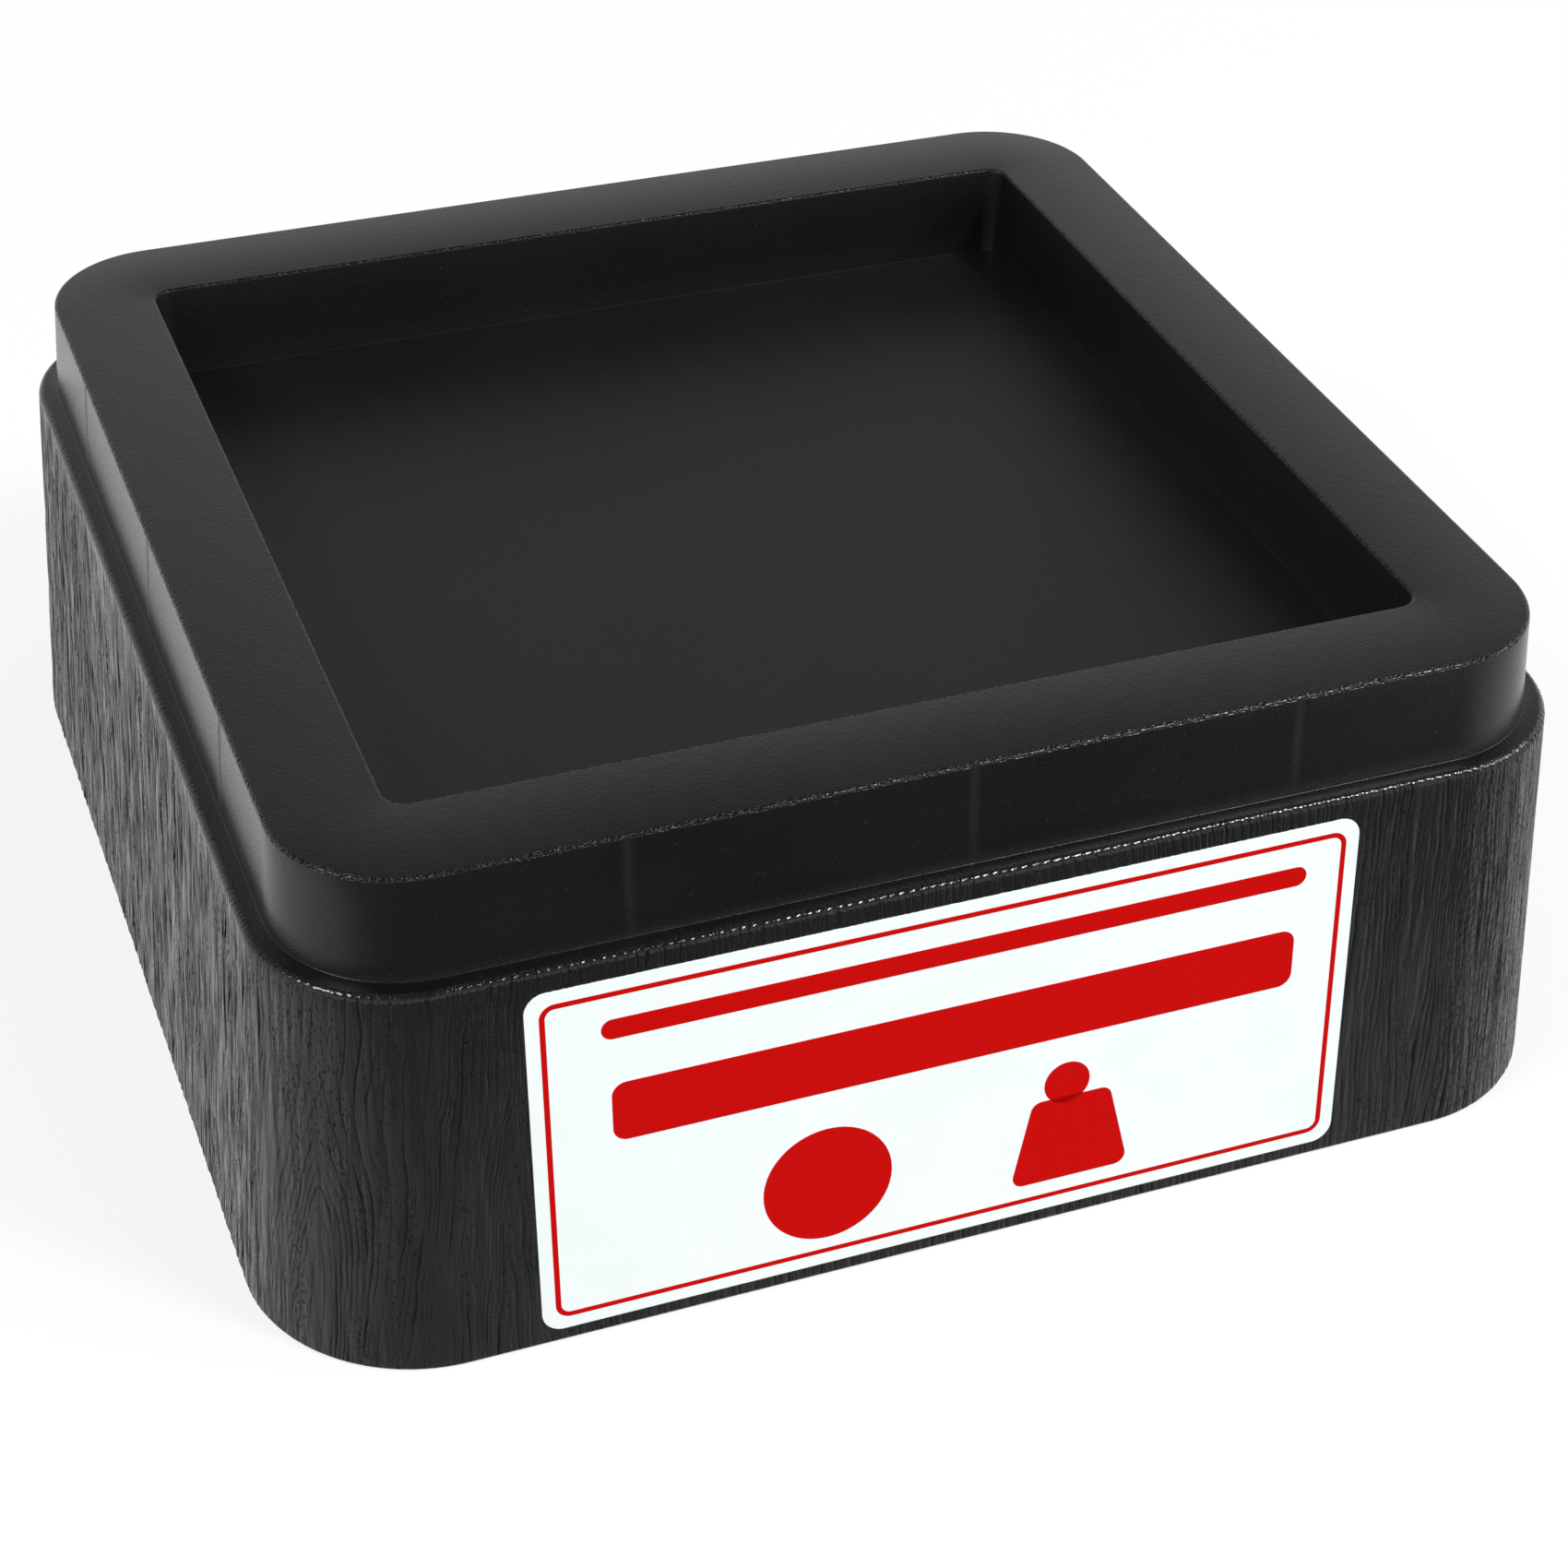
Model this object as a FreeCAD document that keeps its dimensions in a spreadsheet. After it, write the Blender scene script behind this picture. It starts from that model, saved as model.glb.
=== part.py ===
import FreeCAD, Part
import math
import os

import Sketcher

# A stackable bed riser: one moulded block with a drafted skirt, a narrow ledge, a collar
# round a square recess for the furniture leg, and a hollow ribbed underside whose mouth
# takes the collar of another riser. A thin adhesive label lies on the front of the skirt.
# Millimetres and degrees, +Z up, origin at the centre of the foot, the front faces -Y.

# Driving dimensions, each with the alias of its cell in the sheet
SIZES = {
    # Recess that the leg stands in
    "leg_width": 139.7,
    "leg_clearance": 0.15,
    "recess_depth": 14.1,
    "recess_draft": 4.5,
    "recess_corner_radius": 2.0,
    "recess_floor_fillet": 1.0,
    "recess_rim_fillet": 1.1,
    # Collar round the recess
    "rim_width": 15.1,
    "collar_height": 14.7,
    "collar_draft": 4.5,
    "collar_corner_radius": 16.7,
    "collar_rim_fillet": 0.9,
    "collar_foot_fillet": 0.5,
    # Skirt below the collar
    "ledge_width": 2.8,
    "ledge_height": 58.5,
    "skirt_draft": 4.22,
    "skirt_corner_radius": 20.0,
    "skirt_top_fillet": 1.0,
    "skirt_foot_fillet": 0.6,
    # Walls of the moulding
    "skirt_wall": 4.5,
    "ledge_wall": 4.5,
    "collar_wall": 4.0,
    "rim_wall": 4.0,
    "recess_wall": 4.0,
    "recess_floor_wall": 4.5,
    # Rib grid, and the gap left under the foot when two risers are stacked
    "rib_count": 3,
    "rib_pitch": 45.5,
    "rib_thickness": 2.5,
    "rib_draft": 0.5,
    "stack_gap": 0.3,
    # Adhesive label on the front of the skirt
    "label_width": 114.5,
    "label_height": 53.2,
    "label_corner_radius": 4.0,
    "label_offset": -3.2,
    "label_foot_gap": 2.2,
    "label_thickness": 0.12,
}

# How far a cutting form runs past the face that it opens
OVERRUN = 2.0
# How closely an edge must lie on the loop that a fillet is asked for
EDGE_TOLERANCE = 0.005

# Sizes that follow from the driving ones, worked out from the recess outwards
RECESS_FLOOR_WIDTH = "(Sizes.leg_width + 2 * Sizes.leg_clearance)"
RECESS_SPREAD = "(Sizes.recess_depth * tan(Sizes.recess_draft * 1 deg))"
RECESS_MOUTH_WIDTH = f"({RECESS_FLOOR_WIDTH} + 2 * {RECESS_SPREAD})"
COLLAR_TOP_WIDTH = f"({RECESS_MOUTH_WIDTH} + 2 * Sizes.rim_width)"
COLLAR_SPREAD = "(Sizes.collar_height * tan(Sizes.collar_draft * 1 deg))"
COLLAR_FOOT_WIDTH = f"({COLLAR_TOP_WIDTH} + 2 * {COLLAR_SPREAD})"
SKIRT_TOP_WIDTH = f"({COLLAR_FOOT_WIDTH} + 2 * Sizes.ledge_width)"
SKIRT_SPREAD = "(Sizes.ledge_height * tan(Sizes.skirt_draft * 1 deg))"
BASE_WIDTH = f"({SKIRT_TOP_WIDTH} + 2 * {SKIRT_SPREAD})"
TOTAL_HEIGHT = "(Sizes.ledge_height + Sizes.collar_height)"
RECESS_FLOOR_HEIGHT = f"({TOTAL_HEIGHT} - Sizes.recess_depth)"
SOCKET_DEPTH = "(Sizes.collar_height - Sizes.stack_gap)"

doc = FreeCAD.newDocument("bed_riser")
sheet = doc.addObject("Spreadsheet::Sheet", "Sizes")
for row, (alias, number) in enumerate(SIZES.items(), 1):
    sheet.set(f"A{row}", alias)
    sheet.set(f"B{row}", str(number))
    sheet.setAlias(f"B{row}", alias)
doc.recompute()


def measure(expression):
    """Value of an expression of the sheet, as a plain number."""
    return float(sheet.evalExpression(expression))


def new_body(name):
    body = doc.addObject("PartDesign::Body", name)
    body.Label = name
    return body


def new_sketch(body, name, plane_role, centre):
    """Empty sketch on a plane of its own body, with its origin moved by expressions."""
    sketch = body.newObject("Sketcher::SketchObject", name)
    plane = next(item for item in body.Origin.OriginFeatures if item.Role == plane_role)
    sketch.AttachmentSupport = [(plane, "")]
    sketch.MapMode = "FlatFace"
    for axis, expression in centre.items():
        sketch.setExpression(f"AttachmentOffset.Base.{axis}", expression)
    return sketch


def name_size(sketch, constraint, alias, expression):
    """Add a size to a sketch under a name and tie it to the sheet."""
    index = sketch.addConstraint(constraint)
    sketch.renameConstraint(index, alias)
    sketch.setExpression(f"Constraints.{alias}", expression)


def draw_sides(sketch, points, joined):
    """Four sides of a rectangle, counter-clockwise from the near one, kept square to it."""
    for start, end in zip(points[0::2], points[1::2]):
        sketch.addGeometry(Part.LineSegment(FreeCAD.Vector(*start, 0), FreeCAD.Vector(*end, 0)), False)
    if joined:
        for side in range(4):
            sketch.addConstraint(Sketcher.Constraint("Coincident", side, 2, (side + 1) % 4, 1))
    for kind, side in (("Horizontal", 0), ("Vertical", 1), ("Horizontal", 2), ("Vertical", 3)):
        sketch.addConstraint(Sketcher.Constraint(kind, side))


def rectangle(body, name, plane_role, centre, width, depth):
    """Sketch of a sharp rectangle centred on its own origin."""
    sketch = new_sketch(body, name, plane_role, centre)
    half = 50.0
    corners = [(-half, -half), (half, -half), (half, half), (-half, half)]
    points = [corners[0], corners[1], corners[1], corners[2], corners[2], corners[3], corners[3], corners[0]]
    draw_sides(sketch, points, joined=True)
    sketch.addConstraint(Sketcher.Constraint("Symmetric", 0, 1, 2, 1, -1, 1))
    name_size(sketch, Sketcher.Constraint("DistanceX", 0, 1, 0, 2, 2 * half), "width", width)
    name_size(sketch, Sketcher.Constraint("DistanceY", 1, 1, 1, 2, 2 * half), "depth", depth)
    return sketch


def rounded_rectangle(body, name, plane_role, centre, width, depth, corner_radius):
    """Sketch of a rectangle with four equal rounded corners, centred on its own origin."""
    sketch = new_sketch(body, name, plane_role, centre)
    half = 50.0
    radius = 8.0
    inner = half - radius
    points = [(-inner, -half), (inner, -half), (half, -inner), (half, inner),
              (inner, half), (-inner, half), (-half, inner), (-half, -inner)]
    draw_sides(sketch, points, joined=False)
    for quarter, (x, y) in enumerate([(inner, -inner), (inner, inner), (-inner, inner), (-inner, -inner)]):
        circle = Part.Circle(FreeCAD.Vector(x, y, 0), FreeCAD.Vector(0, 0, 1), radius)
        start = math.radians(90 * quarter - 90)
        sketch.addGeometry(Part.ArcOfCircle(circle, start, start + math.radians(90)), False)
    for side in range(4):
        corner = 4 + side
        sketch.addConstraint(Sketcher.Constraint("Tangent", side, 2, corner, 1))
        sketch.addConstraint(Sketcher.Constraint("Tangent", corner, 2, (side + 1) % 4, 1))
    for corner in (5, 6, 7):
        sketch.addConstraint(Sketcher.Constraint("Equal", 4, corner))
    sketch.addConstraint(Sketcher.Constraint("Symmetric", 0, 1, 2, 1, -1, 1))
    name_size(sketch, Sketcher.Constraint("DistanceX", 3, 1, 1, 1, 2 * half), "width", width)
    name_size(sketch, Sketcher.Constraint("DistanceY", 0, 1, 2, 1, 2 * half), "depth", depth)
    name_size(sketch, Sketcher.Constraint("Radius", 4, radius), "corner_radius", corner_radius)
    return sketch


def extrude(kind, body, name, sketch, length, draft="0", reverse=False):
    """Pad or Pocket of a sketch; a positive draft makes the far end the larger one."""
    feature = body.newObject(f"PartDesign::{kind}", name)
    feature.Profile = sketch
    feature.Reversed = reverse
    feature.setExpression("Length", length)
    feature.setExpression("TaperAngle", draft)
    doc.recompute()
    return feature


def fillet_loop(body, name, height, width, radius):
    """Round every edge of the level loop of one width at one height."""
    level = measure(height)
    reach = measure(width) / 2
    base = body.Tip
    edges = []
    for number, edge in enumerate(base.Shape.Edges, 1):
        box = edge.BoundBox
        off_level = max(abs(box.ZMin - level), abs(box.ZMax - level))
        edge_reach = max(-box.XMin, box.XMax, -box.YMin, box.YMax)
        if off_level < EDGE_TOLERANCE and abs(edge_reach - reach) < EDGE_TOLERANCE:
            edges.append(f"Edge{number}")
    fillet = body.newObject("PartDesign::Fillet", name)
    fillet.Base = (base, edges)
    fillet.setExpression("Radius", radius)
    doc.recompute()
    return fillet


def rib_slots(body, name, along, width, depth, pattern_axis):
    """Slots cut up through the core from the socket's ceiling, one for each parallel rib."""
    first = "(-Sizes.rib_pitch * (Sizes.rib_count - 1) / 2)"
    sketch = rectangle(body, f"{name}_profile", "XY_Plane", {along: first, "z": SOCKET_DEPTH}, width, depth)
    slot = extrude("Pocket", body, name, sketch, TOTAL_HEIGHT, "Sizes.rib_draft * 1 deg", reverse=True)
    pattern = body.newObject("PartDesign::LinearPattern", f"{name}_pattern")
    pattern.Originals = [slot]
    pattern.Direction = (sketch, [pattern_axis])
    pattern.setExpression("Length", "Sizes.rib_pitch * (Sizes.rib_count - 1)")
    pattern.setExpression("Occurrences", "Sizes.rib_count")
    body.Tip = pattern
    doc.recompute()
    return pattern


# Outer form: skirt, collar and recess, each with its draft, then the rounded edges
outer = new_body("outer_form")
skirt_profile = rounded_rectangle(outer, "skirt_profile", "XY_Plane", {"z": "Sizes.ledge_height"},
                                  SKIRT_TOP_WIDTH, SKIRT_TOP_WIDTH, "Sizes.skirt_corner_radius")
extrude("Pad", outer, "skirt", skirt_profile, "Sizes.ledge_height", "Sizes.skirt_draft * 1 deg", reverse=True)

collar_profile = rounded_rectangle(outer, "collar_profile", "XY_Plane", {"z": TOTAL_HEIGHT},
                                   COLLAR_TOP_WIDTH, COLLAR_TOP_WIDTH, "Sizes.collar_corner_radius")
extrude("Pad", outer, "collar", collar_profile, "Sizes.collar_height", "Sizes.collar_draft * 1 deg", reverse=True)

recess_profile = rounded_rectangle(outer, "recess_profile", "XY_Plane", {"z": RECESS_FLOOR_HEIGHT},
                                   RECESS_FLOOR_WIDTH, RECESS_FLOOR_WIDTH, "Sizes.recess_corner_radius")
extrude("Pocket", outer, "recess", recess_profile, "Sizes.recess_depth", "Sizes.recess_draft * 1 deg",
        reverse=True)

fillet_loop(outer, "recess_floor_edge", RECESS_FLOOR_HEIGHT, RECESS_FLOOR_WIDTH, "Sizes.recess_floor_fillet")
fillet_loop(outer, "recess_rim_edge", TOTAL_HEIGHT, RECESS_MOUTH_WIDTH, "Sizes.recess_rim_fillet")
fillet_loop(outer, "collar_rim_edge", TOTAL_HEIGHT, COLLAR_TOP_WIDTH, "Sizes.collar_rim_fillet")
fillet_loop(outer, "collar_foot_edge", "Sizes.ledge_height", COLLAR_FOOT_WIDTH, "Sizes.collar_foot_fillet")
fillet_loop(outer, "skirt_top_edge", "Sizes.ledge_height", SKIRT_TOP_WIDTH, "Sizes.skirt_top_fillet")
fillet_loop(outer, "skirt_foot_edge", "0", BASE_WIDTH, "Sizes.skirt_foot_fillet")

# Core of the mould: the hollow inside the walls, with a slot wherever a rib stands
core = new_body("core_form")
LEDGE_CEILING = "(Sizes.ledge_height - Sizes.ledge_wall)"
LEDGE_CEILING_SPREAD = "(Sizes.ledge_wall * tan(Sizes.skirt_draft * 1 deg))"
hollow_profile = rounded_rectangle(
    core, "hollow_profile", "XY_Plane", {"z": LEDGE_CEILING},
    f"{SKIRT_TOP_WIDTH} + 2 * ({LEDGE_CEILING_SPREAD} - Sizes.skirt_wall)",
    f"{SKIRT_TOP_WIDTH} + 2 * ({LEDGE_CEILING_SPREAD} - Sizes.skirt_wall)",
    f"Sizes.skirt_corner_radius + {LEDGE_CEILING_SPREAD} - Sizes.skirt_wall")
extrude("Pad", core, "hollow", hollow_profile, f"{LEDGE_CEILING} + {OVERRUN}",
        "Sizes.skirt_draft * 1 deg", reverse=True)

RIM_CEILING = f"({TOTAL_HEIGHT} - Sizes.rim_wall)"
RIM_CEILING_SPREAD = "(Sizes.rim_wall * tan(Sizes.collar_draft * 1 deg))"
trough_profile = rounded_rectangle(
    core, "trough_profile", "XY_Plane", {"z": RIM_CEILING},
    f"{COLLAR_TOP_WIDTH} + 2 * ({RIM_CEILING_SPREAD} - Sizes.collar_wall)",
    f"{COLLAR_TOP_WIDTH} + 2 * ({RIM_CEILING_SPREAD} - Sizes.collar_wall)",
    f"Sizes.collar_corner_radius + {RIM_CEILING_SPREAD} - Sizes.collar_wall")
extrude("Pad", core, "trough", trough_profile, f"{RIM_CEILING} - {LEDGE_CEILING} + {OVERRUN}",
        "Sizes.collar_draft * 1 deg", reverse=True)

RECESS_UNDERSIDE = f"({RECESS_FLOOR_HEIGHT} - Sizes.recess_floor_wall)"
RECESS_UNDERSIDE_SPREAD = "(Sizes.recess_floor_wall * tan(Sizes.recess_draft * 1 deg))"
recess_wall_profile = rounded_rectangle(
    core, "recess_wall_profile", "XY_Plane", {"z": RECESS_UNDERSIDE},
    f"{RECESS_FLOOR_WIDTH} + 2 * (Sizes.recess_wall - {RECESS_UNDERSIDE_SPREAD})",
    f"{RECESS_FLOOR_WIDTH} + 2 * (Sizes.recess_wall - {RECESS_UNDERSIDE_SPREAD})",
    f"Sizes.recess_corner_radius + Sizes.recess_wall - {RECESS_UNDERSIDE_SPREAD}")
extrude("Pocket", core, "recess_shell", recess_wall_profile,
        f"{TOTAL_HEIGHT} - {RECESS_UNDERSIDE}", "Sizes.recess_draft * 1 deg", reverse=True)

RIB_LENGTH = f"{BASE_WIDTH} + {OVERRUN}"
rib_slots(core, "rib_slot_across", "x", "Sizes.rib_thickness", RIB_LENGTH, "H_Axis")
rib_slots(core, "rib_slot_along", "y", RIB_LENGTH, "Sizes.rib_thickness", "V_Axis")

# The moulding is the outer form with the core taken out of it
riser = doc.addObject("Part::Cut", "riser_body")
riser.Base = outer
riser.Tool = core
riser.Refine = True
riser.Label = "riser_body"

# Label: a film laid flat on the drafted front face, just above the foot
label = new_body("front_label")
label.Placement = FreeCAD.Placement(FreeCAD.Vector(), FreeCAD.Rotation(FreeCAD.Vector(1, 0, 0), -1))
label.setExpression("Placement.Rotation.Angle", "-Sizes.skirt_draft * 1 deg")
label.setExpression("Placement.Base.y", f"-{BASE_WIDTH} / 2")
label_profile = rounded_rectangle(
    label, "label_profile", "XZ_Plane",
    {"x": "Sizes.label_offset", "y": "Sizes.label_foot_gap + Sizes.label_height / 2"},
    "Sizes.label_width", "Sizes.label_height", "Sizes.label_corner_radius")
extrude("Pad", label, "film", label_profile, "Sizes.label_thickness")

doc.recompute()
for item in doc.Objects:
    if "Invalid" in item.State or "Error" in item.State:
        raise RuntimeError(f"{item.Label} failed: {item.State}")

os.makedirs("parts", exist_ok=True)
for sub_part in (riser, label):
    if sub_part.Shape.isNull() or not sub_part.Shape.isValid():
        raise RuntimeError(f"{sub_part.Label} has no valid shape")
    box = sub_part.Shape.optimalBoundingBox(False, False)
    print(sub_part.Label, f"{box.XLength:.2f} x {box.YLength:.2f} x {box.ZLength:.2f} mm,",
          f"{sub_part.Shape.Volume / 1000:.1f} cm3, {len(sub_part.Shape.Faces)} faces,",
          f"{len(sub_part.Shape.Solids)} solid")
    sub_part.Shape.exportStep(f"parts/{sub_part.Label}.step")
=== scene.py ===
import math

import bmesh
import bpy
import numpy as np
from mathutils import Matrix, Vector


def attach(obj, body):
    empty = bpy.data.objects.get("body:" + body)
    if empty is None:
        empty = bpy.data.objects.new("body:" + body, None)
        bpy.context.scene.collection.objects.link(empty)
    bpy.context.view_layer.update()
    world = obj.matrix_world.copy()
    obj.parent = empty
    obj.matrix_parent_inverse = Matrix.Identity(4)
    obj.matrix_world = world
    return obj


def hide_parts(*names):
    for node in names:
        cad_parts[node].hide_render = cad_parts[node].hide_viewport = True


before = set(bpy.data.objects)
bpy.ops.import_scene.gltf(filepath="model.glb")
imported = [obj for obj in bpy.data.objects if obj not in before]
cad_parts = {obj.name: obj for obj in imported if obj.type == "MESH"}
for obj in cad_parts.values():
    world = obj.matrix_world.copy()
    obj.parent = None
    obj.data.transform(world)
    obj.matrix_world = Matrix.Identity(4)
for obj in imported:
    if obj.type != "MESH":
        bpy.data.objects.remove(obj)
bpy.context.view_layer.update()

MM = 0.001

# Sizes of the moulding in millimetres. A half is measured from the middle to a side, a corner from the middle to
# the centre of the corner's rounding. All are the solids' own sizes, apart from the roundings of the recess, the
# rim and the collar's foot, which are tighter here.
FOOT_HALF = 94.483
SKIRT_DRAFT = math.radians(4.22)
SKIRT_CORNER = 70.167
FOOT_ROUND = 0.6
LEDGE_Z = 58.5
LEDGE_ROUND = 1.0
RIM_Z = 73.2
RIM_HALF = 86.21
COLLAR_DRAFT = math.radians(4.5)
COLLAR_CORNER = 69.51
COLLAR_FOOT_ROUND = 0.10
RIM_ROUND = 0.55
FLOOR_Z = 59.1
FLOOR_HALF = 70.0
FLOOR_CORNER = 68.0
MOUTH_ROUND = 0.45
FLOOR_ROUND = 0.12
RIB_PITCH = 45.5

# The collar has sunk a little over each rib's end.
SINK_PLACES = (-RIB_PITCH, 0.0, RIB_PITCH)
SINK_HALF_WIDTH = 0.95
SINK_DEPTH = 0.055

# The drafted front of the skirt carries the label, whose own sizes run along that slope. Its corners are tighter
# than the solid's.
LABEL_WIDTH = 114.5
LABEL_HEIGHT = 53.2
LABEL_CORNER = 2.9
LABEL_MIDDLE = -3.2
LABEL_FOOT = 2.2

# The film's outline from its back to its top: how far inside the label's edge and how proud of the skirt.
FILM_STEPS = ((0.0, -0.08), (0.0, 0.075), (0.012, 0.09), (0.04, 0.098))
INK_PROUD = 0.112
FRAME_INSET = 1.85
FRAME_WIDTH = 0.75
FRAME_CORNER = 2.1

# Round the moulding, one column of points to each step of about this many millimetres. The smooth faces take
# only every so many of them, but all that lie close to a sink mark.
COLUMN_STEP = 0.28
SPARSE_STEP = 5
CLOSE_TO_MARK = 1.3

# The trip round the skirt starts at the front end of the right side and goes by the back and the left to the
# front. Its lengths are taken where the corners are rounded by so many millimetres.
REFERENCE_ROUND = 22.0
SIDE_LENGTH = 2 * SKIRT_CORNER
CORNER_LENGTH = REFERENCE_ROUND * math.pi / 2
PERIMETER = 4 * (SIDE_LENGTH + CORNER_LENGTH)

# The riser's finishes, in the order of its material slots.
GRAINED, SATIN, MOULDED = 0, 1, 2
PLASTIC_IOR = 1.5
FILM_IOR = 1.46


# Nodes

class Wire:
    """A value on its way through a node tree. Sums written with it become Math nodes."""

    def __init__(self, tree, socket):
        self.tree = tree
        self.socket = socket

    def math(self, operation, *others):
        node = self.tree.nodes.new("ShaderNodeMath")
        node.operation = operation
        for value, socket in zip((self, *others), node.inputs):
            plug(self.tree, value, socket)
        return Wire(self.tree, node.outputs[0])

    def __add__(self, other):
        return self.math("ADD", other)

    def __sub__(self, other):
        return self.math("SUBTRACT", other)

    def __mul__(self, other):
        return self.math("MULTIPLY", other)

    def __truediv__(self, other):
        return self.math("DIVIDE", other)

    def __rsub__(self, other):
        return self.math("MULTIPLY_ADD", -1.0, other)

    def __rtruediv__(self, other):
        return self.math("POWER", -1.0) * other

    __radd__ = __add__
    __rmul__ = __mul__

    def ramp(self, low, high, out_low=0.0, out_high=1.0):
        """Eases from out_low to out_high as the value goes from low to high."""
        node = self.tree.nodes.new("ShaderNodeMapRange")
        node.interpolation_type = "SMOOTHSTEP"
        for value, socket in zip((self, low, high, out_low, out_high), node.inputs):
            plug(self.tree, value, socket)
        return Wire(self.tree, node.outputs[0])


def plug(tree, value, socket):
    """Joins a wire to a socket, or sets the socket to a plain value."""
    if isinstance(value, Wire):
        tree.links.new(value.socket, socket)
    else:
        socket.default_value = value


def add_node(tree, kind, settings=None, **inputs):
    """A new node with its settings, and its sockets joined or set by name."""
    node = tree.nodes.new(kind)
    for name, value in (settings or {}).items():
        setattr(node, name, value)
    for name, value in inputs.items():
        plug(tree, value, node.inputs[name.replace("_", " ")])
    return node


def coordinates(tree, kind):
    """A place or a direction of the Texture Coordinate node, as one wire."""
    return Wire(tree, tree.nodes.new("ShaderNodeTexCoord").outputs[kind])


def stretched_noise(tree, place, across, along, detail=2.0, seed=0.0):
    """Noise from 0 to 1 with features so many millimetres across and along the height."""
    scale = add_node(tree, "ShaderNodeVectorMath", {"operation": "MULTIPLY"})
    plug(tree, place, scale.inputs[0])
    plug(tree, (1.0 / (across * MM), 1.0 / (across * MM), 1.0 / (along * MM)), scale.inputs[1])
    node = add_node(tree, "ShaderNodeTexNoise", {"noise_dimensions": "4D"},
                    Vector=Wire(tree, scale.outputs[0]), W=seed, Scale=1.0, Detail=detail)
    return Wire(tree, node.outputs[0])


def add_object(name, data):
    """A new object, in the scene."""
    made = bpy.data.objects.new(name, data)
    bpy.context.scene.collection.objects.link(made)
    return made


# Outline of the moulding, from the middle of the recess out and down to the foot. Each row of it is a half width,
# a height and an angle: on a rounded edge the angle round the edge's centre, on a flat stretch that of its ends.

def rounded_edge(centre, radius, start, end, steps):
    """Rows along a rounded edge."""
    return [(centre[0] + radius * math.cos(angle), centre[1] + radius * math.sin(angle), angle)
            for angle in np.linspace(start, end, steps + 1)]


def straight(first, last, angle, steps):
    """Rows between two ends of a flat stretch, without the ends."""
    shares = np.linspace(0, 1, steps + 1)[1:-1]
    return [(first[0] + (last[0] - first[0]) * share, first[1] + (last[1] - first[1]) * share, angle)
            for share in shares]


def recess_rows():
    """Floor, floor edge, wall and mouth edge of the recess."""
    cos, sin = math.cos(COLLAR_DRAFT), math.sin(COLLAR_DRAFT)
    floor_centre = (FLOOR_HALF + (sin - 1) * FLOOR_ROUND / cos, FLOOR_Z + FLOOR_ROUND)
    mouth_z = RIM_Z - MOUTH_ROUND
    mouth_centre = (FLOOR_HALF + (MOUTH_ROUND + (mouth_z - FLOOR_Z) * sin) / cos, mouth_z)
    floor_edge = rounded_edge(floor_centre, FLOOR_ROUND, -math.pi / 2, -COLLAR_DRAFT, 4)
    mouth_edge = rounded_edge(mouth_centre, MOUTH_ROUND, math.pi - COLLAR_DRAFT, math.pi / 2, 6)
    floor = [(FLOOR_HALF * share, FLOOR_Z, math.pi / 2) for share in (0.25, 0.6, 0.9)]
    wall = straight(floor_edge[-1], mouth_edge[0], math.pi - COLLAR_DRAFT, 3)
    return floor + floor_edge + wall + mouth_edge


def collar_rows():
    """Rim edge, wall and foot edge of the collar."""
    cos, sin = math.cos(COLLAR_DRAFT), math.sin(COLLAR_DRAFT)
    rim_centre = (RIM_HALF - (RIM_ROUND - RIM_ROUND * sin) / cos, RIM_Z - RIM_ROUND)
    foot_z = LEDGE_Z + COLLAR_FOOT_ROUND
    foot_centre = (RIM_HALF + (COLLAR_FOOT_ROUND + (RIM_Z - foot_z) * sin) / cos, foot_z)
    rim_edge = rounded_edge(rim_centre, RIM_ROUND, math.pi / 2, COLLAR_DRAFT, 6)
    foot_edge = rounded_edge(foot_centre, COLLAR_FOOT_ROUND, math.pi + COLLAR_DRAFT, math.pi * 1.5, 2)
    wall = straight(rim_edge[-1], foot_edge[0], COLLAR_DRAFT, 5)
    return rim_edge + wall + foot_edge


def skirt_rows():
    """Ledge edge, drafted wall and foot edge of the skirt."""
    cos, sin = math.cos(SKIRT_DRAFT), math.sin(SKIRT_DRAFT)
    top_z = LEDGE_Z - LEDGE_ROUND
    top_centre = (FOOT_HALF - (LEDGE_ROUND + top_z * sin) / cos, top_z)
    foot_centre = (FOOT_HALF - FOOT_ROUND * (1 + sin) / cos, FOOT_ROUND)
    top_edge = rounded_edge(top_centre, LEDGE_ROUND, math.pi / 2, SKIRT_DRAFT, 7)
    foot_edge = rounded_edge(foot_centre, FOOT_ROUND, SKIRT_DRAFT, -math.pi / 2, 4)
    wall = straight(top_edge[-1], foot_edge[0], SKIRT_DRAFT, 17)
    return top_edge + wall + foot_edge


def round_trip():
    """One column for each step round the moulding: corner share, direction and distance gone."""
    per_side = round(SIDE_LENGTH / COLUMN_STEP)
    per_corner = round(CORNER_LENGTH / COLUMN_STEP)
    shares, ways, gone = [], [], []
    for quarter, (cos, sin) in enumerate(((1, 0), (0, 1), (-1, 0), (0, -1))):
        start = quarter * (SIDE_LENGTH + CORNER_LENGTH)
        for step in range(per_side):
            part = step / per_side
            along = 2 * part - 1
            shares.append((cos - along * sin, sin + along * cos))
            ways.append((cos, sin))
            gone.append(start + part * SIDE_LENGTH)
        for step in range(per_corner):
            part = step / per_corner
            x, y = math.cos(part * math.pi / 2), math.sin(part * math.pi / 2)
            shares.append((cos - sin, sin + cos))
            ways.append((x * cos - y * sin, x * sin + y * cos))
            gone.append(start + SIDE_LENGTH + part * CORNER_LENGTH)
    return np.array(shares), np.array(ways), np.array(gone)


SHARES, WAYS, GONE = round_trip()


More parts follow.
